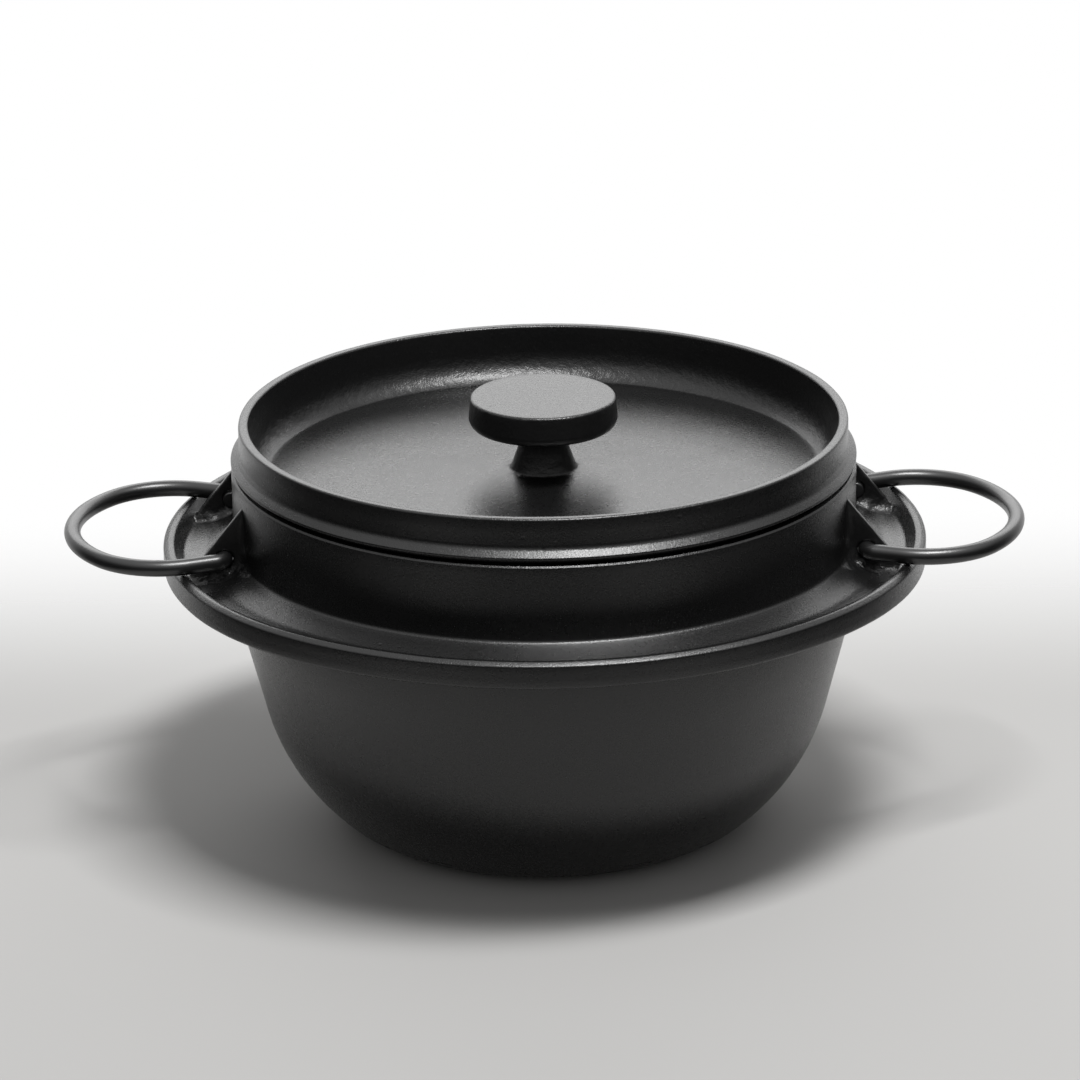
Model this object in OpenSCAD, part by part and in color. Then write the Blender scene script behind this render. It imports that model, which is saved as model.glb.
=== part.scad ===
// Cast iron rice pot: a deep bowl with a drip flange, a dished lid and two wire ring handles.
// Origin at the centre of the base, +Z up, handles along X, all sizes in millimetres.

/* [Bowl] */
// Outer diameter of the straight collar above the flange
collar_d = 208; // [190:1:230]
// Thickness of the cast wall and base
wall = 4; // [3:0.1:5]
// Radius of the corner between base and side, outside
corner_r = 23.5; // [18:0.5:28]
// Radius of the rounded lower side, outside
side_r = 72; // [60:1:80]
// Radius that turns the drafted side upright below the flange
shoulder_r = 100; // [80:1:120]
// Slope of the lower side where corner and side meet, degrees from upright
corner_slope = 49; // [44:0.5:54]
// Draft of the straight part of the side, degrees from upright
side_draft = 14.3; // [11:0.1:17]

/* [Flange] */
// How far the flange stands out from the collar
flange_out = 23.4; // [19:0.2:28]
// Height of the lip's crest above the base
flange_h = 99.6; // [92:0.2:112]
// Height of the lip from its underside to its crest
lip_h = 8.6; // [7.6:0.1:10]
// Width of the lip at its crest
lip_w = 3.5; // [3:0.1:4.5]
// How far the inside of the lip runs in as it goes down
lip_run = 2.5; // [1.5:0.1:3.5]
// Depth of the flange's gutter below the crest, at the lip
gutter_depth = 3.7; // [3:0.1:4.5]
// Rise of the flange from the lip to the collar
flange_rise = 3.4; // [2:0.1:5]
// Thickness of the flange plate
flange_t = 4; // [3.2:0.1:5]

/* [Collar] */
// Height of the collar's top above the lip's crest
collar_h = 25.35; // [20:0.05:32]
// Radius on the outer edge of the collar's top
collar_edge_r = 0.9; // [0.4:0.1:1.5]

/* [Lid] */
// How far the lid's upstanding rim is set in from the collar's outside
lid_inset = 2.7; // [2:0.1:4]
// Width of the rim at its top
lid_rim_w = 3.3; // [2.8:0.1:4.2]
// Height of the rim's top above the collar
lid_rise = 14.95; // [11:0.05:20]
// How far the bead at the foot of the rim stands out from the rim
bead_out = 2.8; // [2:0.1:3.4]
// Height of the bead's outer edge
bead_h = 0.9; // [0.6:0.1:1.4]
// Open slit between the bead's outer edge and the collar
bead_slit = 1.9; // [0.9:0.1:2.4]
// Radius of the hollow between the lid's wall and its plate
cove_r = 11.2; // [9:0.1:13]
// Angle that the hollow turns through
cove_turn = 62; // [55:1:70]
// Depth of the top of the hollow below the rim
cove_drop = 8.6; // [6:0.1:10]
// Thickness of the lid's plate
lid_plate_t = 4; // [3:0.1:5]
// How much the plate is crowned in its middle
lid_crown = 0.5; // [0:0.1:2]

/* [Knob] */
// Diameter of the knob at its widest
knob_d = 50.2; // [40:0.2:60]
// Diameter of the knob at its top
knob_top_d = 48.2; // [38:0.2:58]
// Height of the knob's top above the lid's rim
knob_rise = 7.3; // [4:0.1:16]
// Thickness of the knob's disc
knob_t = 10.4; // [9:0.1:12]
// Radius on the knob's lower edge
knob_low_r = 3.2; // [2:0.1:4]
// Diameter of the stem at its foot
stem_foot_d = 22.4; // [18:0.2:26]
// Diameter of the stem at its neck
stem_neck_d = 14.8; // [12:0.2:17]

/* [Handles] */
// Diameter of the handle's round bar
bar_d = 5.5; // [4.5:0.1:6]
// How far the ring reaches out beyond the flange
ring_out = 33.1; // [28:0.2:42]
// Radius of the ring's far end, on the bar's centre line
ring_end_r = 46.4; // [42:0.2:54]
// Radius of the ring's sides, on the bar's centre line
ring_side_r = 27; // [22:0.2:31]
// Angle at which the bar spreads as it leaves the lug
ring_splay = 20; // [12:0.5:26]
// Radius on the inside of the bend where the bar turns into its hole
bend_in_r = 1.25; // [1:0.05:2]
// Distance of the hinge axis outside the collar's widest point
hinge_out = 1.8; // [1:0.1:3]
// How far each end of the bar stands out inside its lug
pin_proud = 2; // [1:0.1:4]

/* [Lugs] */
// Clear width between the two lugs of one handle
lug_gap = 56.4; // [46:0.2:66]
// Thickness of a lug
lug_t = 3; // [2.4:0.1:4]
// Height of a lug's tip above the lip's crest
lug_h = 20; // [16:0.2:23]
// Diameter of the cored hole in a lug
lug_hole_d = 6.6; // [6.2:0.1:7.4]

/* [Fits] */
// Clearance between the lid's spigot and the collar, at the side
spigot_gap = 0.6; // [0.3:0.1:1]
// Seating gap between the lid and the collar's top
seat_gap = 0.3; // [0.2:0.05:0.5]
// Gap between the bar and the crest of the lip that it rests over
rest_gap = 0.3; // [0.2:0.05:0.5]
// How far the bar sits above the middle of its hole
pin_lift = 0.2; // [0:0.05:0.3]
// Side play between the bar and the outer face of its lug
ring_play = 0.8; // [0.5:0.1:2]

/* [Hidden] */
iron = "#2b2b2b";
steel = "#202020";

// radii on the pot
collar_r = collar_d / 2;
flange_r = collar_r + flange_out;
bore_r = collar_r - wall;
lip_foot_r = flange_r - lip_w - lip_run;

// heights on the pot
lip_low_z = flange_h - lip_h;
gutter_z = flange_h - gutter_depth;
flange_root_z = gutter_z + flange_rise;
collar_z = flange_h + collar_h;

// small radii of the casting
lip_low_edge_r = 1.1;
lip_out_edge_r = 0.5 * lip_w;
lip_in_edge_r = 0.6 * lip_w;
lip_foot_fillet = 2;
collar_fillet = 1.6;
under_fillet = 4;
bore_edge_r = 0.6;

// the bowl's curve: how far out each stretch runs, and the base's flat that is left
corner_run = corner_r * cos(corner_slope);
side_run = side_r * (cos(side_draft) - cos(corner_slope));
shoulder_run = shoulder_r * (1 - cos(side_draft));
corner_up = corner_r * (1 - sin(corner_slope));
side_up = side_r * (sin(corner_slope) - sin(side_draft));
shoulder_up = shoulder_r * sin(side_draft);
straight_up = lip_low_z - corner_up - side_up - shoulder_up;
base_r = collar_r - corner_run - side_run - shoulder_run - straight_up * tan(side_draft);

// radii and heights on the lid
lid_r = collar_r - lid_inset;
lid_in_r = lid_r - lid_rim_w;
bead_r = lid_r + bead_out;
spigot_r = bore_r - spigot_gap;
lid_top_z = collar_z + lid_rise;
lid_seat_z = collar_z + seat_gap;
bead_z = collar_z + bead_slit;
cove_z = lid_top_z - cove_drop;
cove_in_r = lid_in_r - cove_r * (1 - cos(cove_turn));
plate_z = cove_z - cove_r * sin(cove_turn);
plate_mid_z = plate_z + lid_crown;
lid_low_z = plate_z - lid_plate_t;
seat_w = 2.2;
bead_top_drop = 2.2;
bead_edge_r = 0.3;
bead_cove_r = 2.5;
rim_edge_r = 0.9;
spigot_edge_r = 4;

// radii and heights on the knob
knob_top_z = lid_top_z + knob_rise;
knob_low_z = knob_top_z - knob_t;
knob_edge_r = 1;
stem_foot_fillet = 1.6;
stem_waist_fillet = 5;
stem_top_fillet = 3;
neck_h = 0.28 * (knob_low_z - plate_mid_z);
plate_in_r = stem_foot_d / 2 + 2 * stem_foot_fillet;

// the hinge and the lugs
bar_r = bar_d / 2;
bend_r = bar_r + bend_in_r;
hole_r = lug_hole_d / 2;
hinge_x = collar_r + hinge_out;
hinge_z = flange_h + rest_gap + bar_r;
lug_in_y = lug_gap / 2;
lug_out_y = lug_in_y + lug_t;
lug_mid_y = lug_in_y + lug_t / 2;
lug_sink = 1;
lug_root_x = sqrt(pow(collar_r - wall / 2, 2) - pow(lug_mid_y, 2));
lug_tip_x = sqrt(pow(collar_r, 2) - pow(lug_mid_y, 2));
lug_foot_x = sqrt(pow(lip_foot_r + lug_sink, 2) - pow(lug_mid_y, 2));
lug_tip_z = flange_h + lug_h;
lug_slope = (lug_tip_z - gutter_z) / (lug_foot_x - lug_tip_x);

// the ring's centre line, seen from above with the hinge axis at x = 0
ring_reach = flange_r + ring_out - hinge_x;
end_centre_x = ring_reach - bar_r - ring_end_r;
spread_y = lug_out_y + ring_play + bar_r / cos(ring_splay) - hole_r * tan(ring_splay);
bend_turn = 90 - ring_splay;
bend_y = spread_y - bend_r * tan(bend_turn / 2);
bend_end = [bend_r * (1 - cos(bend_turn)), bend_y + bend_r * sin(bend_turn)];
ring_dir = [cos(ring_splay), sin(ring_splay)];
ring_in = [sin(ring_splay), -cos(ring_splay)];
from_end = [0, spread_y] + ring_side_r * ring_in - [end_centre_x, 0];
straight_l = sqrt(pow(ring_end_r - ring_side_r, 2) - pow(cross(from_end, ring_dir), 2))
    - from_end * ring_dir;
side_start = [0, spread_y] + straight_l * ring_dir;
side_centre = side_start + ring_side_r * ring_in;
meet_a = atan2(side_centre.y, side_centre.x - end_centre_x);
pin_end_y = lug_in_y - pin_proud;

// where two lengths of bar meet: each stops short by weld_back inside a sleeve larger by weld_r
weld_back = 0.06;
weld_h = 0.4;
weld_r = 0.04;

// points along an arc about c, from angle a0 to angle a1
function arc(c, r, a0, a1, n) =
    [for (i = [0:n]) let (a = a0 + (a1 - a0) * i / n) c + r * [cos(a), sin(a)]];

function unit(v) = v / norm(v);

// shortest signed turn from angle a to angle b
function turn(a, b) = (b - a) - 360 * round((b - a) / 360);

// the corner b of the path a, b, c, rounded to radius r
function rounded_corner(a, b, c, r, n = 6) =
    let (u = unit(a - b), w = unit(c - b), half = acos(u * w) / 2)
    let (centre = b + unit(u + w) * r / sin(half), p = b + u * r / tan(half), q = b + w * r / tan(half))
    let (a0 = atan2(p.y - centre.y, p.x - centre.x), a1 = atan2(q.y - centre.y, q.x - centre.x))
    arc(centre, r, a0, a0 + turn(a0, a1), n);

// an open path through corners [x, y, radius]; the first and last are kept as points
function rounded_path(c) =
    [for (i = [0:len(c) - 1])
        let (b = [c[i].x, c[i].y], inner = i > 0 && i < len(c) - 1 && c[i].z > 0)
        each inner ? rounded_corner([c[i - 1].x, c[i - 1].y], b, [c[i + 1].x, c[i + 1].y], c[i].z) : [b]];

// the bowl's side from the base's flat up to the upright collar, set in by t from the outside
function bowl_curve(t) = concat(
    arc([base_r, corner_r], corner_r - t, -90, -corner_slope, 10),
    arc([base_r + corner_run - side_r * cos(corner_slope), corner_up + side_r * sin(corner_slope)],
        side_r - t, -corner_slope, -side_draft, 12),
    arc([collar_r - shoulder_r, lip_low_z], shoulder_r - t, -side_draft, 0, 6));

function reversed(p) = [for (i = [len(p) - 1:-1:0]) p[i]];

// the flange and the collar, from the upright wall under the flange round to the bore
function flange_and_collar() = rounded_path([
    [collar_r, lip_low_z, 0],
    [collar_r, flange_root_z - flange_t, under_fillet],
    [flange_r - lip_w - lip_low_edge_r, lip_low_z, lip_low_edge_r],
    [flange_r, lip_low_z, lip_low_edge_r],
    [flange_r, flange_h, lip_out_edge_r],
    [flange_r - lip_w, flange_h, lip_in_edge_r],
    [lip_foot_r, gutter_z, lip_foot_fillet],
    [collar_r, flange_root_z, collar_fillet],
    [collar_r, collar_z, collar_edge_r],
    [bore_r, collar_z, bore_edge_r],
    [bore_r, lip_low_z, 0]]);

module pot_casting() {
    color(iron) rotate_extrude($fn = 120)
        polygon(concat([[0, 0]], bowl_curve(0), flange_and_collar(), reversed(bowl_curve(wall)), [[0, wall]]));
}

// one lug: a sloping plate that stands on the flange against the collar
module lug() {
    color(iron) translate([0, lug_out_y, 0]) rotate([90, 0, 0]) linear_extrude(lug_t)
        polygon([
            [lug_root_x, flange_root_z - flange_t / 2],
            [lug_foot_x, gutter_z - flange_t / 2],
            [lug_foot_x, gutter_z],
            [lug_root_x, lug_tip_z + (lug_tip_x - lug_root_x) * lug_slope]]);
}

module lug_hole() {
    translate([hinge_x, lug_mid_y, hinge_z - pin_lift]) rotate([90, 0, 0])
        cylinder(h = 3 * lug_t, d = lug_hole_d, center = true, $fn = 48);
}

// repeats its child at the four lug places
module at_lugs() {
    for (x = [0, 1], y = [0, 1])
        mirror([x, 0, 0]) mirror([0, y, 0]) children();
}

module pot() {
    difference() {
        union() {
            pot_casting();
            at_lugs() lug();
        }
        at_lugs() lug_hole();
    }
}

// the lid's outside, from its underside at the middle round the bead to the top of the hollow
function lid_outside() = rounded_path([
    [0, lid_low_z, 0],
    [spigot_r, lid_low_z, spigot_edge_r],
    [spigot_r, lid_seat_z, 0.3],
    [spigot_r + seat_w, lid_seat_z, 0.3],
    [spigot_r + seat_w, bead_z, 0.2],
    [bead_r, bead_z, bead_edge_r],
    [bead_r, bead_z + bead_h, bead_edge_r],
    [lid_r, bead_z + bead_h + bead_top_drop, bead_cove_r],
    [lid_r, lid_top_z, rim_edge_r],
    [lid_in_r, lid_top_z, rim_edge_r],
    [lid_in_r, cove_z, 0]]);

// the hollow round the plate, and the crowned plate in towards the stem
function lid_hollow() = arc([lid_in_r - cove_r, cove_z], cove_r, 0, -cove_turn, 10);
function lid_plate() = [for (i = [1:6])
    let (r = cove_in_r + (plate_in_r - cove_in_r) * i / 6)
    [r, plate_z + lid_crown * (1 - pow(r / cove_in_r, 2))]];

// the stem and the knob, from the plate up to the knob's middle
function knob_outside() = rounded_path([
    [plate_in_r, plate_z + lid_crown * (1 - pow(plate_in_r / cove_in_r, 2)), 0],
    [stem_foot_d / 2, plate_mid_z, stem_foot_fillet],
    [stem_neck_d / 2, knob_low_z - neck_h, stem_waist_fillet],
    [stem_neck_d / 2, knob_low_z, stem_top_fillet],
    [knob_d / 2, knob_low_z, knob_low_r],
    [knob_top_d / 2, knob_top_z, knob_edge_r],
    [0, knob_top_z, 0]]);

module lid() {
    color(iron) rotate_extrude($fn = 120)
        polygon(concat(lid_outside(), lid_hollow(), lid_plate(), knob_outside()));
}

// a straight length of bar from p to q, both in the plane of the ring
module bar_run(p, q) {
    translate([p.x, p.y, 0]) rotate([0, 0, atan2(q.y - p.y, q.x - p.x)]) rotate([0, 90, 0])
        translate([0, 0, weld_back]) cylinder(h = norm(q - p) - 2 * weld_back, d = bar_d, $fn = 32);
}

// a bend of the bar about c, from angle a0 through the angle sweep
module bar_bend(c, r, a0, sweep) {
    back = weld_back / r * 180 / PI;
    translate([c.x, c.y, 0]) rotate([0, 0, a0 + back])
        rotate_extrude(angle = sweep - 2 * back, $fn = 96) translate([r, 0]) circle(d = bar_d, $fn = 32);
}

// joins two lengths of bar that end at p, where the bar runs at angle a, a hair larger than the bar
module bar_weld(p, a) {
    translate([p.x, p.y, 0]) rotate([0, 0, a]) rotate([0, 90, 0])
        cylinder(h = weld_h, r = bar_r + weld_r, center = true, $fn = 32);
}

// one side of the ring, from the end of its pin to the far bend
module ring_side() {
    translate([0, pin_end_y, 0]) rotate([-90, 0, 0])
        cylinder(h = bend_y - pin_end_y - weld_back, d = bar_d, $fn = 32);
    bar_weld([0, bend_y], 90);
    bar_bend([bend_r, bend_y], bend_r, 180 - bend_turn, bend_turn);
    bar_weld(bend_end, ring_splay);
    bar_run(bend_end, side_start);
    bar_weld(side_start, ring_splay);
    bar_bend(side_centre, ring_side_r, meet_a, 90 + ring_splay - meet_a);
    bar_weld([end_centre_x, 0] + ring_end_r * [cos(meet_a), sin(meet_a)], meet_a - 90);
}

module ring_handle() {
    color(steel) translate([hinge_x, 0, hinge_z]) {
        ring_side();
        mirror([0, 1, 0]) ring_side();
        bar_bend([end_centre_x, 0], ring_end_r, -meet_a, 2 * meet_a);
    }
}

module left_handle() {
    mirror([1, 0, 0]) ring_handle();
}

module right_handle() {
    ring_handle();
}

pot();
lid();
left_handle();
right_handle();
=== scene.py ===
import math

import bpy
import numpy as np
from mathutils import Matrix, Vector


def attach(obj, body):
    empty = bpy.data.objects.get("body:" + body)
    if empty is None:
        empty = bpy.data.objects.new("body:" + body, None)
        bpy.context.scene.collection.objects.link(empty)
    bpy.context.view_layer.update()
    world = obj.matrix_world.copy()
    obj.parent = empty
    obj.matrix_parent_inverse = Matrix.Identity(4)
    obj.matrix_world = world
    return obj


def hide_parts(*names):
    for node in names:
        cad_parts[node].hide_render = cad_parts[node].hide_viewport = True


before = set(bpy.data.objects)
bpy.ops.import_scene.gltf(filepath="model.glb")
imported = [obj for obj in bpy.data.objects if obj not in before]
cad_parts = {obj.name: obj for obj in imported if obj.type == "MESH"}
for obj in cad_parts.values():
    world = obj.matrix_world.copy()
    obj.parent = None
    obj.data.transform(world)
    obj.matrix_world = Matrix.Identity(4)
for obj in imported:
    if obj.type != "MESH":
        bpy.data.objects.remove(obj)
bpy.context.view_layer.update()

# Shapes are worked out in millimetres, in the CAD's frame, and become metres when a mesh is made
MM = 0.001

# Sizes of the pot, as in the part's source
COLLAR_R, COLLAR_H, WALL = 104.0, 25.35, 4.0
CORNER_R, SIDE_R, SHOULDER_R = 23.5, 72.0, 100.0
CORNER_SLOPE, SIDE_DRAFT = math.radians(49), math.radians(14.3)
FLANGE_R, FLANGE_H, FLANGE_T = 127.4, 99.6, 4.0
LIP_H, LIP_W, LIP_RUN, GUTTER, RISE, LIP_LOW_EDGE_R = 8.6, 3.5, 2.5, 3.7, 3.4, 1.1
LUG_IN_Y, LUG_T, LUG_H, HOLE_R = 28.2, 3.0, 20.0, 3.3

# Sizes of the lid
LID_R, RIM_W, LID_RISE = 101.3, 3.3, 14.95
BEAD_OUT, BEAD_H, BEAD_DROP, BEAD_EDGE_R, SLIT, RIM_EDGE_R = 2.8, 0.9, 2.2, 0.3, 1.9, 0.9
COVE_R, COVE_TURN, COVE_DROP = 11.2, math.radians(62), 8.6
PLATE_T, CROWN = 4.0, 0.5
KNOB_R, KNOB_TOP_R, KNOB_RISE, KNOB_T, KNOB_LOW_R = 25.1, 24.1, 7.3, 10.4, 3.2
STEM_FOOT_R, STEM_NECK_R, STEM_FILLET, NECK_SHARE, SEAT_W = 11.2, 7.4, 3.2, 0.28, 2.2

# Sizes of the ring handles, and what is left free between the pieces
BAR_R, BEND_R, RING_END_R, RING_SIDE_R, SPLAY = 2.75, 4.0, 46.4, 27.0, math.radians(20)
HINGE_X, RING_OUT, RING_PLAY, PIN_PROUD = 105.8, 33.1, 0.8, 2
SPIGOT_GAP, SEAT_GAP, REST_GAP = 0.6, 0.3, 0.3

# Shapes that only this script has: a deeper dish in the flange, the lip's crest and the collar's edge
FOOT_IN, FOOT_DROP, DISH_RUN, DISH_DROP, CHAMFER = 0.6, 1.3, 9.5, 0.4, 0.6
CREST, TOP_IN, TOP_UP, TOP_EDGE_R = 0.1, 1.8, 0.25, 1.2
# The casting's lip stands higher and further in at the front: how much, and how far round in degrees
WARP_UP, WARP_IN, WARP_AT, WARP_REACH, WARP_FADE = 0.75, 1.2, 8, 50, 22
# A casting's waves and the lumps on its rough places: how high they are, and how long
WAVE_H, LONG_WAVE, SHORT_WAVE = 0.05, 16, 6
LUMP_H, SHORT_LUMP, LONG_LUMP = 0.13, 2.2, 4.5
BAR_WAVE_H, BAR_WAVE = 0.02, 9

# Places that follow from the sizes
LIP_LOW = FLANGE_H - LIP_H
BORE_R = COLLAR_R - WALL
LIP_FOOT_R = FLANGE_R - LIP_W - LIP_RUN
GUTTER_Z = FLANGE_H - GUTTER
ROOT_Z = GUTTER_Z + RISE
FOOT_R, FOOT_Z = LIP_FOOT_R - FOOT_IN, GUTTER_Z - FOOT_DROP
DISH_R, DISH_Z = COLLAR_R + DISH_RUN, GUTTER_Z - DISH_DROP
CREST_R, CREST_Z = FLANGE_R - LIP_W, FLANGE_H + CREST
COLLAR_Z = FLANGE_H + COLLAR_H
LID_TOP_Z = COLLAR_Z + LID_RISE
HINGE_Z = FLANGE_H + REST_GAP + BAR_R
LUG_Y = LUG_IN_Y + LUG_T / 2
LUG_TOP_Z = FLANGE_H + LUG_H

# Points round each piece, and how far apart a profile's points are: on round corners, on its straights,
# and on straights that show less
POT_SIDES, POT_ARC_STEP, POT_STEP, BOWL_STEP = 288, 0.4, 2.5, 6
LID_SIDES, LID_ARC_STEP, LID_STEP, RIM_STEP = 384, 0.35, 2.2, 4
BAR_SIDES = 36

# The grid that carries one lug
GRID_LOW, GRID_HIGH, GRID_STEP = np.array([94.5, 19.5, 92.0]), np.array([124.0, 41.0, 123.0]), 0.48


# Plane curves
def arc(centre, r, start, end, n):
    """Points from the angle start to the angle end round a centre."""
    angles = [start + (end - start) * i / n for i in range(n + 1)]
    return [(centre[0] + r * math.cos(a), centre[1] + r * math.sin(a)) for a in angles]


def rounded(corners, step):
    """An open path through (x, y, radius): each inner corner becomes a true arc."""
    out = []
    for i, (x, y, r) in enumerate(corners):
        if i in (0, len(corners) - 1) or r <= 0:
            out.append((x, y))
            continue
        corner = Vector((x, y))
        back = (Vector(corners[i - 1][:2]) - corner).normalized()
        on = (Vector(corners[i + 1][:2]) - corner).normalized()
        half = math.acos(max(-1, min(1, back.dot(on)))) / 2
        centre = corner + (back + on).normalized() * (r / math.sin(half))
        first = corner + back * (r / math.tan(half)) - centre
        last = corner + on * (r / math.tan(half)) - centre
        start = math.atan2(first.y, first.x)
        turn = (math.atan2(last.y, last.x) - start + math.pi) % (2 * math.pi) - math.pi
        out += arc(centre, r, start, start + turn, max(4, int(r * abs(turn) / step)))
    return out


def refined(path, longest):
    """The same path with its long straights divided, so that they can carry the casting's waves."""
    out = [path[0]]
    for a, b in zip(path[:-1], path[1:]):
        n = max(1, math.ceil(math.dist(a, b) / longest))
        out += [(a[0] + (b[0] - a[0]) * k / n, a[1] + (b[1] - a[1]) * k / n) for k in range(1, n + 1)]
    return out


def bowl_curve(inset):
    """The bowl's side from its base to its shoulder, moved inwards: three arcs, each tangent to the next."""
    corner_run = CORNER_R * math.cos(CORNER_SLOPE)
    side_run = SIDE_R * (math.cos(SIDE_DRAFT) - math.cos(CORNER_SLOPE))
    shoulder_run = SHOULDER_R * (1 - math.cos(SIDE_DRAFT))
    corner_up = CORNER_R * (1 - math.sin(CORNER_SLOPE))
    side_up = SIDE_R * (math.sin(CORNER_SLOPE) - math.sin(SIDE_DRAFT))
    shoulder_up = SHOULDER_R * math.sin(SIDE_DRAFT)
    straight_run = (LIP_LOW - corner_up - side_up - shoulder_up) * math.tan(SIDE_DRAFT)
    base_r = COLLAR_R - corner_run - side_run - shoulder_run - straight_run
    side_centre = (base_r + corner_run - SIDE_R * math.cos(CORNER_SLOPE),
                   corner_up + SIDE_R * math.sin(CORNER_SLOPE))
    return (arc((base_r, CORNER_R), CORNER_R - inset, -math.pi / 2, -CORNER_SLOPE, 24)
            + arc(side_centre, SIDE_R - inset, -CORNER_SLOPE, -SIDE_DRAFT, 28)
            + arc((COLLAR_R - SHOULDER_R, LIP_LOW), SHOULDER_R - inset, -SIDE_DRAFT, 0, 14))


# Smooth noise, the same every run
LATTICE_SIDE = 32
LATTICE = np.random.RandomState(7).rand(LATTICE_SIDE, LATTICE_SIDE, LATTICE_SIDE) * 2 - 1


def noise(points, size, seed=0):
    """Value noise in -1..1 at points in mm, with features of the given size."""
    q = points / size + np.array([seed * 5.3 + 100, seed * 2.7 + 100, seed * 7.9 + 100])
    cell = np.floor(q).astype(int)
    f = q - cell
    f = f * f * (3 - 2 * f)
    cell %= LATTICE_SIDE
    above = (cell + 1) % LATTICE_SIDE
    out = 0
    for corner in np.ndindex(2, 2, 2):
        weight, places = 1, []
        for k, far in enumerate(corner):
            weight = weight * (f[:, k] if far else 1 - f[:, k])
            places.append((above if far else cell)[:, k])
        out = out + weight * LATTICE[tuple(places)]
    return out


def smooth(v, low, high):
    """0 up to low, 1 from high on, and an eased way between."""
    t = np.clip((v - low) / (high - low), 0, 1)
    return t * t * (3 - 2 * t)


# Meshes
def placed(name, data):
    """A new object in the scene."""
    obj = bpy.data.objects.new(name, data)
    bpy.context.scene.collection.objects.link(obj)
    return obj


def smooth_piece(name, points, faces, rough=None):
    """A smooth shaded piece from points in mm. Its material reads how rough it is at each point."""
    mesh = bpy.data.meshes.new(name)
    mesh.from_pydata((np.asarray(points) * MM).tolist(), [], faces)
    mesh.update()
    mesh.shade_smooth()
    if rough is not None:
        mesh.attributes.new("rough", "FLOAT", "POINT").data.foreach_set("value", rough.astype(np.float32))
    return placed(name, mesh)


def shell_faces(rows, n):
    """Quads between rows of n points. A fan from one more point closes each end."""
    low, high, last = rows * n, rows * n + 1, (rows - 1) * n
    faces = []
    for k in range(n):
        k2 = (k + 1) % n
        faces += [(low, k2, k), (high, last + k, last + k2)]
        faces += [(row + k, row + k2, row + n + k2, row + n + k) for row in range(0, last, n)]
    return faces


def turned(profile, angles):
    """Each (radius, height) of a profile at each of the angles round the pot's axis."""
    heights = np.repeat(profile[:, 1][:, None], len(angles), 1)
    sides = [np.outer(profile[:, 0], np.cos(angles)), np.outer(profile[:, 0], np.sin(angles)), heights]
    return np.stack(sides, -1).reshape(-1, 3)


def casting(path, n, rough_at=None):
    """Points, faces and roughness of a casting, from a profile that starts and ends on the axis."""
    path = np.array(path)
    angles = np.arange(n) * 2 * math.pi / n
    along = np.gradient(path, axis=0)[1:-1]
    outward = np.stack([along[:, 1], -along[:, 0]], -1)
    outward /= np.linalg.norm(outward, axis=1)[:, None] + 1e-9
    points = turned(path[1:-1], angles)
    rough = np.zeros(len(points))
    height = WAVE_H * (noise(points, LONG_WAVE, 1) + 0.5 * noise(points, SHORT_WAVE, 2))
    if rough_at is not None:
        rough = rough_at(points)
        height = height + rough * LUMP_H * (noise(points, SHORT_LUMP, 3) + 0.6 * noise(points, LONG_LUMP, 4))
    # the base stays flat
    height = height * np.clip(points[:, 2] / 1.5, 0, 1)
    points = points + turned(outward, angles) * height[:, None]
    ends = [[r, 0, z] for r, z in (path[0], path[-1])]
    return np.vstack([points, ends]), shell_faces(len(path) - 2, n), np.append(rough, [0, 0])


def surface_nets(field, low, step):
    """Points and quads of the surface where a field, sampled on a grid, is zero. It is negative inside."""
    nx, ny, nz = field.shape
    inside = field < 0
    cells = (nx - 1, ny - 1, nz - 1)
    total, count = np.zeros(cells + (3,)), np.zeros(cells)
    corners = list(np.ndindex(2, 2, 2))

    def at(corner):
        """The field at one corner of every cell."""
        i, j, k = corner
        return field[i:nx - 1 + i, j:ny - 1 + j, k:nz - 1 + k]

    # a cell's point is the mean of the places where the surface crosses the cell's edges
    for i, a in enumerate(corners):
        for b in corners[i + 1:]:
            if sum(abs(a[k] - b[k]) for k in range(3)) != 1:
                continue
            crossed = (at(a) < 0) != (at(b) < 0)
            t = np.where(crossed, at(a) / np.where(crossed, at(a) - at(b), 1), 0)
            for k in range(3):
                total[..., k] += np.where(crossed, a[k] + t * (b[k] - a[k]), 0)
            count += crossed
    has = count > 0
    index = -np.ones(cells, dtype=int)
    index[has] = np.arange(has.sum())
    points = np.array(low) + (np.argwhere(has) + total[has] / count[has][:, None]) * step

    # each grid edge that the surface crosses gives a quad between the four cells round it
    faces = []
    for axis in range(3):
        u, v = [(1, 2), (2, 0), (0, 1)][axis]
        near = [slice(1, -1)] * 3
        near[axis] = slice(0, -1)
        far = list(near)
        far[axis] = slice(1, None)
        first, second = inside[tuple(near)], inside[tuple(far)]
        for edges, flip in ((np.argwhere(first & ~second), False), (np.argwhere(~first & second), True)):
            cell = edges + 1
            cell[:, axis] -= 1
            quad = []
            for du, dv in ((1, 1), (0, 1), (0, 0), (1, 0)):
                c = cell.copy()
                c[:, u] -= du
                c[:, v] -= dv
                quad.append(index[c[:, 0], c[:, 1], c[:, 2]])
            quad = np.stack(quad, 1)
            faces.append(quad[:, ::-1] if flip else quad)
    return points, np.vstack(faces)


def relaxed(points, faces):
    """The points, each moved halfway to the mean of its neighbours."""
    total, count = np.zeros_like(points), np.zeros(len(points))
    for a, b in ((0, 1), (1, 2), (2, 3), (3, 0)):
        for end, other in ((a, b), (b, a)):
            np.add.at(total, faces[:, end], points[faces[:, other]])
            np.add.at(count, faces[:, end], 1)
    mean = 0.5 * total / np.maximum(count, 1)[:, None]
    return np.where(count[:, None] > 0, points * 0.5 + mean, points)


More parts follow.
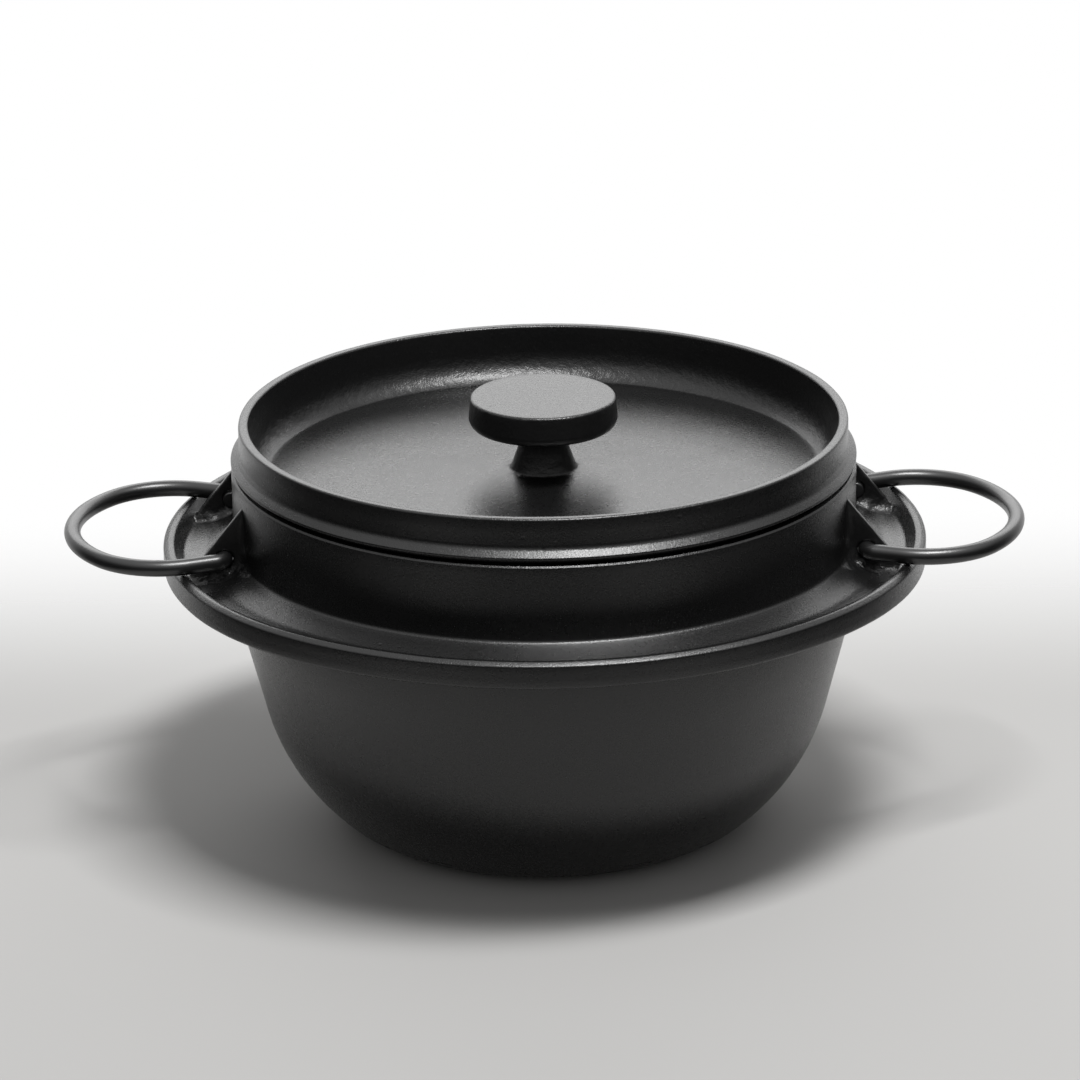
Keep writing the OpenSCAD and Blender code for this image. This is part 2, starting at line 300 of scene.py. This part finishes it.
def smin(a, b, k):
    """The smaller of two distances, with a fillet of about k where they are alike."""
    h = np.clip(0.5 + 0.5 * (b - a) / k, 0, 1)
    return b + (a - b) * h - k * h * (1 - h)


def smax(a, b, k):
    """The larger of two distances, with a round of about k where they are alike."""
    return -smin(-a, -b, k)


# The pot
def pot_skin(r, z):
    """Signed distances to the collar and the gutter's floor, and the nearest of collar, floor and lip."""
    slope_cos = 0.96
    collar = r - COLLAR_R
    near = DISH_Z + (DISH_R - r) * (ROOT_Z - DISH_Z) / (DISH_R - COLLAR_R)
    far = DISH_Z + (DISH_R - r) * (DISH_Z - FOOT_Z) / (FOOT_R - DISH_R)
    floor = (z - np.maximum(near, far)) * slope_cos
    rise, out = CREST_Z - FOOT_Z, CREST_R - FOOT_R
    run = math.hypot(rise, out)
    lip = np.maximum((CREST_R - r) * rise / run - (CREST_Z - z) * out / run, z - FLANGE_H + 0.5)
    return collar, floor, np.minimum(np.minimum(collar, floor), lip)


def lug_patch(seed):
    """Points, faces and roughness of one cast lug with its rough fillets, for x > 0 and y > 0."""
    # the plate is a little thinner at its tip and widens towards its foot
    thinned, draft, wavy, tip_round = 0.07, 0.018, 0.22, 0.5
    collar_fillet, gutter_fillet, least_fillet, most_fillet, fillet_end = 4.2, 4.6, 2.5, 7, 8.5
    # what it shares with the pot lies just under the pot's skin, and growth under the least is dropped
    sunk, hole_play, least = 0.07, 0.12, 0.012
    counts = np.ceil((GRID_HIGH - GRID_LOW) / GRID_STEP).astype(int)
    lines = [GRID_LOW[k] + GRID_STEP * np.arange(counts[k]) for k in range(3)]
    x, y, z = np.meshgrid(*lines, indexing="ij")
    r = np.hypot(x, y)
    points = np.stack([x, y, z], -1).reshape(-1, 3)

    def lump(size, layer):
        """Noise over the grid, of its own for each layer of each lug."""
        return noise(points, size, layer + seed * 11).reshape(x.shape)

    # the triangular plate
    foot_x = math.sqrt((LIP_FOOT_R + 1) ** 2 - LUG_Y ** 2)
    tip_x = math.sqrt(COLLAR_R ** 2 - LUG_Y ** 2)
    slope = Vector((foot_x - tip_x, GUTTER_Z - LUG_TOP_Z)).normalized()
    edge = (x - tip_x) * -slope.y + (z - LUG_TOP_Z) * slope.x
    half = LUG_T / 2 - thinned + draft * np.clip(LUG_TOP_Z - z, 0, 30)
    side = np.abs(y - LUG_Y - wavy * lump(14, 1)) - half
    lug = smax(side, edge - 0.16 * lump(6, 2), tip_round) + 0.05 * lump(2.2, 3) + 0.08 * lump(5.5, 4)

    # fillets to the collar and the gutter, uneven as cast, that end at the lip and beside the lug
    collar, floor, skin = pot_skin(r, z)
    below_tip = np.clip((LUG_TOP_Z - z) / 22, 0, 1)
    rooted = smin(lug, collar, 0.3 + collar_fillet * below_tip * (1 + 0.3 * lump(4, 5)))
    rooted = smin(rooted, floor, np.clip(gutter_fillet + 1.6 * lump(3.4, 6), least_fillet, most_fillet))
    inner = np.clip((CREST_R - 1.2 - r) / 2.5, 0, 1)
    grown = np.maximum(skin - rooted, 0) * inner * smooth(fillet_end - side, 0, 5)
    low = np.clip(1 - (z - GUTTER_Z - 4) / 5, 0, 1)
    grown = grown + low * np.clip(grown * 2, 0, 1) * (0.10 * lump(1.7, 7) + 0.16 * lump(3.1, 8))
    hole = np.hypot(x - HINGE_X, z - HINGE_Z) - BAR_R - hole_play + 0.05 * lump(3, 9)
    points, faces = surface_nets(smax(skin - grown + sunk, -hole, tip_round), GRID_LOW, GRID_STEP)

    # what is only the pot's own skin is dropped
    nearest = np.clip(((points - GRID_LOW) / GRID_STEP).round().astype(int), 0, counts - 1)
    bare = grown[nearest[:, 0], nearest[:, 1], nearest[:, 2]] < least
    faces = faces[~bare[faces].all(axis=1)]
    points = relaxed(points, faces)
    used, faces_used = np.unique(faces, return_inverse=True)
    points = points[used]
    rough = 0.25 + 0.75 * np.clip(1 - (points[:, 2] - GUTTER_Z - 3.5) / 5, 0, 1)
    return points, faces_used.reshape(faces.shape), rough


def pot_profile():
    """Half of the pot's section, from the base's middle round the outside to the floor of the bowl."""
    flange_and_collar = rounded([
        (COLLAR_R, LIP_LOW, 0),
        (COLLAR_R, ROOT_Z - FLANGE_T, 4),
        (CREST_R - LIP_LOW_EDGE_R, LIP_LOW, LIP_LOW_EDGE_R),
        (FLANGE_R, LIP_LOW, LIP_LOW_EDGE_R),
        (FLANGE_R, FLANGE_H - 0.9, 0.9),
        (FLANGE_R - TOP_IN, FLANGE_H + TOP_UP, TOP_EDGE_R),
        (CREST_R, CREST_Z, TOP_EDGE_R),
        (FOOT_R, FOOT_Z, 2),
        (DISH_R, DISH_Z, 8),
        (COLLAR_R, ROOT_Z, 1.6),
        (COLLAR_R, COLLAR_Z - CHAMFER, 0.2),
        (COLLAR_R - CHAMFER, COLLAR_Z, 0.2),
        (BORE_R, COLLAR_Z, 0.6),
        (BORE_R, LIP_LOW, 0)], POT_ARC_STEP)
    outside = [(0, 0)] + bowl_curve(0) + flange_and_collar
    return refined(outside, POT_STEP) + refined(bowl_curve(WALL)[::-2] + [(0, WALL)], BOWL_STEP)


def pot_piece():
    """The bowl, flange and collar, with the lip's warp at the front, and the four lugs."""
    points, faces, rough = casting(pot_profile(), POT_SIDES)
    r = np.hypot(points[:, 0], points[:, 1])
    way = np.degrees(np.arctan2(points[:, 0], -points[:, 1])) - WARP_AT
    front = smooth(WARP_REACH - np.abs(way), -WARP_FADE, WARP_FADE)
    front *= smooth(r, COLLAR_R + 2, LIP_FOOT_R + 1) * (points[:, 2] > LIP_LOW - 1)
    points[:, :2] *= (1 - WARP_IN * front / np.maximum(r, 1))[:, None]
    points[:, 2] += WARP_UP * front
    for seed, (x_sign, y_sign) in enumerate([(1, 1), (1, -1), (-1, 1), (-1, -1)]):
        lug_points, lug_faces, lug_rough = lug_patch(seed)
        if x_sign * y_sign < 0:
            lug_faces = lug_faces[:, ::-1]
        faces += (lug_faces + len(points)).tolist()
        points = np.vstack([points, lug_points * np.array([x_sign, y_sign, 1])])
        rough = np.append(rough, lug_rough)
    return smooth_piece("pot_casting", points, faces, rough)


# The lid
def lid_piece():
    """Spigot, seat, bead, rim, cove, crowned plate, stem and knob, from the underside's middle upwards."""
    inner_r = LID_R - RIM_W
    cove_z = LID_TOP_Z - COVE_DROP
    plate_r = inner_r - COVE_R * (1 - math.cos(COVE_TURN))
    plate_z = cove_z - COVE_R * math.sin(COVE_TURN)
    low_z = plate_z - PLATE_T
    crown_z = plate_z + CROWN
    spigot_r = BORE_R - SPIGOT_GAP
    seat_r, seat_z = spigot_r + SEAT_W, COLLAR_Z + SEAT_GAP
    bead_r, bead_z = LID_R + BEAD_OUT, COLLAR_Z + SLIT
    bead_top_z = bead_z + BEAD_H
    knob_z = LID_TOP_Z + KNOB_RISE
    knob_low_z = knob_z - KNOB_T
    neck_z = knob_low_z - NECK_SHARE * (knob_low_z - crown_z)
    fillet_r = STEM_FOOT_R + STEM_FILLET

    def crowned(r):
        """The plate's point at a radius."""
        return r, plate_z + CROWN * (1 - (r / plate_r) ** 2)

    outside = rounded([
        (0, low_z, 0), (spigot_r, low_z, 4), (spigot_r, seat_z, 0.3), (seat_r, seat_z, 0.3),
        (seat_r, bead_z, 0.2), (bead_r, bead_z, BEAD_EDGE_R), (bead_r, bead_top_z, BEAD_EDGE_R),
        (LID_R, bead_top_z + BEAD_DROP, 2.5), (LID_R, LID_TOP_Z, RIM_EDGE_R),
        (inner_r, LID_TOP_Z, RIM_EDGE_R),
        (inner_r, cove_z, 0)], LID_ARC_STEP)
    cove = arc((inner_r - COVE_R, cove_z), COVE_R, 0, -COVE_TURN, 26)
    plate = [crowned(r) for r in np.linspace(plate_r, fillet_r, 30)[1:]]
    knob = rounded([
        (*crowned(fillet_r), 0), (STEM_FOOT_R, crown_z, 1.6), (STEM_NECK_R, neck_z, 5),
        (STEM_NECK_R, knob_low_z, 3), (KNOB_R, knob_low_z, KNOB_LOW_R), (KNOB_TOP_R, knob_z, 1),
        (0, knob_z, 0)], LID_ARC_STEP)

    def rough_at(points):
        """The rim's inner wall, the stem and the knob's side are rougher than the rest."""
        r, z = np.hypot(points[:, 0], points[:, 1]), points[:, 2]
        wall = 0.4 * smooth(r, 90.5, 93.5) * (z > plate_z - 1)
        wall *= (r < inner_r + 0.5) * smooth(LID_TOP_Z - z, 0.3, 2)
        stem = 0.5 * (r < STEM_FOOT_R + 1.8) * (z > crown_z - 1) * (z < knob_low_z)
        side = 0.45 * (r > KNOB_TOP_R - 0.4) * (r < KNOB_R + 1) * (z > knob_low_z)
        return np.clip(wall + stem + side, 0, 1)

    path = refined(outside, RIM_STEP) + refined(cove[1:] + plate + knob[1:], LID_STEP)
    return smooth_piece("lid_casting", *casting(path, LID_SIDES, rough_at))


# The ring handles
def ring_line():
    """Half of the bar's centre line, from its pin at y > 0 to the far end's middle. The hinge is at x = 0."""
    end_x = FLANGE_R + RING_OUT - HINGE_X - BAR_R - RING_END_R
    spread = LUG_IN_Y + LUG_T + RING_PLAY + BAR_R / math.cos(SPLAY) - HOLE_R * math.tan(SPLAY)
    turn = math.pi / 2 - SPLAY
    bend_y = spread - BEND_R * math.tan(turn / 2)
    bend_end = Vector((BEND_R * (1 - math.cos(turn)), bend_y + BEND_R * math.sin(turn)))
    way = Vector((math.cos(SPLAY), math.sin(SPLAY)))
    inward = Vector((way.y, -way.x))
    # the straight runs on until the side's arc, tangent to it, also touches the end's arc
    offset = Vector((0, spread)) + RING_SIDE_R * inward - Vector((end_x, 0))
    cross = offset.x * way.y - offset.y * way.x
    run = math.sqrt((RING_END_R - RING_SIDE_R) ** 2 - cross ** 2) - offset.dot(way)
    side_start = Vector((0, spread)) + run * way
    side_centre = side_start + RING_SIDE_R * inward
    meet = math.atan2(side_centre.y, side_centre.x - end_x)
    line = [(0, y) for y in np.linspace(LUG_IN_Y - PIN_PROUD, bend_y, 9)]
    line += arc((BEND_R, bend_y), BEND_R, math.pi, math.pi - turn, 14)[1:]
    line += [tuple(bend_end + (side_start - bend_end) * t) for t in np.linspace(0, 1, 12)[1:]]
    line += arc(side_centre, RING_SIDE_R, math.pi / 2 + SPLAY, meet, 34)[1:]
    return line + arc((end_x, 0), RING_END_R, meet, 0, 34)[1:]


def ring_piece(name, sign, seed):
    """One handle: a round bar along the ring's line, with its ends a little rounded."""
    half = ring_line()
    line = np.array([(x, y, 0.0) for x, y in half] + [(x, -y, 0.0) for x, y in half[-2::-1]])
    along = np.gradient(line, axis=0)
    along /= np.linalg.norm(along, axis=1)[:, None]
    side = np.cross(along, [0, 0, 1])
    tip = [(0, BAR_R - 0.5), (0.12, BAR_R - 0.15), (0.5, BAR_R)]
    rows = [(line[0] + along[0] * inset, side[0], r) for inset, r in tip]
    rows += [(line[i], side[i], BAR_R) for i in range(1, len(line) - 1)]
    rows += [(line[-1] - along[-1] * inset, side[-1], r) for inset, r in reversed(tip)]
    angles = np.arange(BAR_SIDES) * 2 * math.pi / BAR_SIDES
    cosines, rises = np.cos(angles), np.outer(np.sin(angles), [0, 0, 1])
    points = np.vstack([centre + r * (np.outer(cosines, across) + rises) for centre, across, r in rows])
    outward = points - np.repeat([centre for centre, across, r in rows], BAR_SIDES, 0)
    outward /= np.linalg.norm(outward, axis=1)[:, None]
    points = points + outward * (BAR_WAVE_H * noise(points, BAR_WAVE, seed))[:, None]
    points = np.vstack([points, rows[0][0], rows[-1][0]])
    points[:, 0] = (points[:, 0] + HINGE_X) * sign
    points[:, 2] += HINGE_Z
    faces = shell_faces(len(rows), BAR_SIDES)
    if sign > 0:
        faces = [face[::-1] for face in faces]
    return smooth_piece(name, points, faces)


# Materials
class Nodes:
    """The emptied node tree of a material or world, with short calls for the nodes that it gets."""

    def __init__(self, owner):
        owner.use_nodes = True
        self.tree = owner.node_tree
        self.tree.nodes.clear()

    def put(self, socket, value):
        """Links a value that is an output, and sets any other."""
        if isinstance(value, bpy.types.NodeSocket):
            self.tree.links.new(value, socket)
        else:
            socket.default_value = value

    def add(self, kind, **values):
        """A new node, with values for its inputs and its settings by their names."""
        node = self.tree.nodes.new(kind)
        for key, value in values.items():
            if key in node.inputs:
                self.put(node.inputs[key], value)
            else:
                setattr(node, key, value)
        return node

    def math(self, operation, a, b):
        """A math node's output for two numbers or outputs."""
        node = self.add("ShaderNodeMath", operation=operation)
        self.put(node.inputs[0], a)
        self.put(node.inputs[1], b)
        return node.outputs[0]

    def ramp(self, source, stops):
        """A colour ramp through stops of (place, grey or colour)."""
        node = self.add("ShaderNodeValToRGB", Fac=source)
        for element, (place, colour) in zip(node.color_ramp.elements, stops):
            element.position = place
            element.color = (*colour, 1) if isinstance(colour, tuple) else (colour, colour, colour, 1)
        return node.outputs[0]

    def eased(self, source, low, high, bottom=0.0, top=1.0):
        """From bottom to top while the source goes from low to high, eased at both ends."""
        values = {"Value": source, "From Min": low, "From Max": high, "To Min": bottom, "To Max": top}
        return self.add("ShaderNodeMapRange", interpolation_type="SMOOTHSTEP", **values).outputs[0]

    def on_object(self, kind, output, **values):
        """A texture that lies on the object's own coordinates, in metres."""
        place = self.add("ShaderNodeTexCoord").outputs["Object"]
        return self.add(kind, Vector=place, **values).outputs[output]

    def noise(self, scale, detail, roughness=0.5):
        """Noise with scale features to the metre."""
        return self.on_object("ShaderNodeTexNoise", "Fac", Scale=scale, Detail=detail, Roughness=roughness)


def cast_iron():
    """Matt black iron as cast: fine grain, shallow waves, a few pits, and lumps where it is rough."""
    mat = bpy.data.materials.new("black_cast_iron")
    nodes = Nodes(mat)
    rough = nodes.add("ShaderNodeAttribute", attribute_name="rough").outputs["Fac"]
    fine, grain = nodes.noise(2000, 3, 0.6), nodes.noise(800, 3, 0.6)
    skin, cloud = nodes.noise(90, 3, 0.5), nodes.noise(18, 4, 0.6)

    # pits only where a second noise is high
    hollow = nodes.on_object("ShaderNodeTexVoronoi", "Distance", Scale=260)
    level = nodes.ramp(hollow, [(0.10, 0.0), (0.20, 1.0)])
    rare = nodes.ramp(nodes.noise(55, 2), [(0.60, 0.0), (0.68, 1.0)])
    pit = nodes.math("SUBTRACT", 1.0, nodes.math("MULTIPLY", nodes.math("SUBTRACT", 1.0, level), rare))

    colour = nodes.ramp(cloud, [(0.30, (0.0050, 0.0050, 0.0051)), (0.70, (0.0075, 0.0075, 0.0076))])
    tone = nodes.add("ShaderNodeMix", data_type="RGBA", blend_type="MULTIPLY", Factor=0.5)
    nodes.put(tone.inputs[6], colour)
    nodes.put(tone.inputs[7], nodes.ramp(grain, [(0.30, 0.70), (0.70, 1.25)]))

    gloss = nodes.ramp(cloud, [(0.3, 0.27), (0.7, 0.29)])
    gloss = nodes.math("ADD", gloss, nodes.math("MULTIPLY", nodes.math("SUBTRACT", grain, 0.5), 0.08))
    gloss = nodes.math("ADD", gloss, nodes.math("MULTIPLY", rough, 0.04))

    # heights in metres, and how much of each shows
    heights = [(skin, 0.00030, 0.08), (grain, 0.00016, 0.22), (fine, 0.00014, 0.6), (pit, 0.00014, 0.5),
               (nodes.noise(330, 3, 0.6), 0.0008, nodes.math("MULTIPLY", rough, 0.8))]
    bump = None
    for height, distance, strength in heights:
        node = nodes.add("ShaderNodeBump", Height=height, Distance=distance, Strength=strength)
        if bump:
            nodes.put(node.inputs["Normal"], bump)
        bump = node.outputs["Normal"]

    shader = nodes.add("ShaderNodeBsdfPrincipled", Roughness=gloss, Normal=bump,
                       **{"Base Color": tone.outputs[2], "Specular IOR Level": 0.58})
    nodes.add("ShaderNodeOutputMaterial", Surface=shader.outputs[0])
    return mat


def bar_steel():
    """Satin black steel bar, a little glossier than the castings."""
    mat = bpy.data.materials.new("black_satin_steel")
    nodes = Nodes(mat)
    cloud = nodes.noise(45, 3)
    colour = nodes.ramp(cloud, [(0.3, (0.006, 0.006, 0.0062)), (0.7, (0.010, 0.010, 0.0102))])
    gloss = nodes.ramp(cloud, [(0.3, 0.30), (0.7, 0.35)])
    bump = nodes.add("ShaderNodeBump", Height=nodes.noise(1300, 2), Strength=0.30, Distance=0.00004)
    shader = nodes.add("ShaderNodeBsdfPrincipled", Roughness=gloss, Normal=bump.outputs["Normal"],
                       **{"Base Color": colour, "Specular IOR Level": 0.8})
    nodes.add("ShaderNodeOutputMaterial", Surface=shader.outputs[0])
    return mat


# Floor, world and lamps, in metres
FLOOR_HALF, FLOOR_DROP, FLOOR_COLOUR = 1, 0.0002, (0.52, 0.515, 0.507, 1)
# Where the floor starts and ends to fade, along each way from the pot
FLOOR_FADES = [("Y", 0.08, 0.30), ("Y", -0.28, -0.50), ("X", 0.20, 0.36), ("X", -0.20, -0.36)]
# How bright the world is in front to gloss, and all round to what is matt
FRONT_LEVEL, MATT_LEVEL = 0.03, 0.28
LAMP_AIM = Vector((0, 0, 0.1))


def pale_floor():
    """A pale plane that takes the pot's shadow and fades into the white of the world."""
    mesh = bpy.data.meshes.new("floor")
    corners = [(x * FLOOR_HALF, y * FLOOR_HALF, 0) for x, y in ((-1, -1), (1, -1), (1, 1), (-1, 1))]
    mesh.from_pydata(corners, [], [(0, 1, 2, 3)])
    mat = bpy.data.materials.new("pale_floor")
    mesh.materials.append(mat)
    nodes = Nodes(mat)
    position = nodes.add("ShaderNodeNewGeometry").outputs["Position"]
    place = nodes.add("ShaderNodeSeparateXYZ", Vector=position)
    fade = 0.0
    for axis, start, end in FLOOR_FADES:
        fade = nodes.math("MAXIMUM", nodes.eased(place.outputs[axis], start, end), fade)
    mix = nodes.add("ShaderNodeMixShader", Fac=fade)
    nodes.put(mix.inputs[1], nodes.add("ShaderNodeBsdfDiffuse", Color=FLOOR_COLOUR).outputs[0])
    nodes.put(mix.inputs[2], nodes.add("ShaderNodeBsdfTransparent").outputs[0])
    nodes.add("ShaderNodeOutputMaterial", Surface=mix.outputs[0])
    floor = placed("floor", mesh)
    floor.location.z = -FLOOR_DROP
    return floor


def studio_world():
    """White to the camera, even and dim to what is matt, and a studio to gloss and glass.

    The studio is white behind the pot and above it, and near black in front.
    """
    world = bpy.data.worlds.new("studio")
    nodes = Nodes(world)
    way = nodes.add("ShaderNodeSeparateXYZ", Vector=nodes.add("ShaderNodeTexCoord").outputs["Generated"])
    behind = nodes.eased(way.outputs["Y"], 0.35, 0.85, FRONT_LEVEL)
    above = nodes.eased(way.outputs["Z"], 0.15, 0.95)
    ray = nodes.add("ShaderNodeLightPath").outputs
    glossy = nodes.math("MAXIMUM", ray["Is Glossy Ray"], ray["Is Transmission Ray"])
    seen = nodes.math("MULTIPLY", glossy, nodes.math("MAXIMUM", behind, above))
    seen = nodes.math("MAXIMUM", ray["Is Camera Ray"], seen)
    matt = nodes.math("SUBTRACT", 1.0, nodes.math("MAXIMUM", ray["Is Camera Ray"], glossy))
    strength = nodes.math("MAXIMUM", seen, nodes.math("MULTIPLY", matt, MATT_LEVEL))
    ground = nodes.add("ShaderNodeBackground", Color=(1, 1, 1, 1), Strength=strength)
    nodes.add("ShaderNodeOutputWorld", Surface=ground.outputs[0])
    return world


def softbox(name, at, size, power, spread):
    """A rectangular lamp that faces the pot. Its power is in watts and its spread in degrees."""
    light = bpy.data.lights.new(name, "AREA")
    light.spread = math.radians(spread)
    light.shape = "RECTANGLE"
    light.size, light.size_y, light.energy = *size, power
    lamp = placed(name, light)
    lamp.location = at
    lamp.rotation_euler = (LAMP_AIM - Vector(at)).to_track_quat("-Z", "Y").to_euler()


# Camera, fitted to the photograph's circles: place in mm, angles in radians, focal length in its pixels
CAMERA_AT = Vector((-12.8694, -1821.1327, 758.2899))
PITCH, YAW, ROLL, FOCAL_PX, PHOTO_PX, SENSOR_W = 0.3487, 0.0062, -0.0132, 5787.18, 1080, 36.0


def fitted_camera():
    """The camera at the photograph's place and angle. It rolls a little, as the photograph does."""
    ahead = Vector((math.sin(YAW) * math.cos(PITCH), math.cos(YAW) * math.cos(PITCH), -math.sin(PITCH)))
    level = Vector((math.cos(YAW), -math.sin(YAW), 0))
    upright = level.cross(ahead)
    right = math.cos(ROLL) * level + math.sin(ROLL) * upright
    up = -math.sin(ROLL) * level + math.cos(ROLL) * upright
    lens = bpy.data.cameras.new("camera")
    lens.sensor_fit, lens.sensor_width, lens.lens = "HORIZONTAL", SENSOR_W, SENSOR_W * FOCAL_PX / PHOTO_PX
    lens.clip_start, lens.clip_end = 0.05, 60
    camera = placed("camera", lens)
    turn = Matrix((right, up, -ahead)).transposed().to_4x4()
    camera.matrix_world = Matrix.Translation(CAMERA_AT * MM) @ turn
    return camera


# The pieces, each with the CAD node that it stands for, its body and its slot
iron, steel = cast_iron(), bar_steel()
pieces = [
    (pot_piece(), "pot", "vessel", "cast_iron", iron),
    (lid_piece(), "lid", "vessel", "cast_iron", iron),
    (ring_piece("left_ring_bar", -1, 21), "left_handle", "left_ring", "handle_steel", steel),
    (ring_piece("right_ring_bar", 1, 33), "right_handle", "right_ring", "handle_steel", steel),
]
for piece, node_name, body, slot, mat in pieces:
    piece.data.materials.append(mat)
    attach(piece, body)
    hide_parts(node_name)

floor = pale_floor()
softbox("top_box", (0.28, -0.40, 1.60), (0.7, 0.35), 8.8, 110)
softbox("back_box", (0.0, 1.6, 1.0), (2.4, 0.9), 14, 180)
bpy.context.scene.world = studio_world()
bpy.context.scene.camera = fitted_camera()
bpy.context.scene.view_settings.view_transform = "Standard"

bpy.context.view_layer.update()
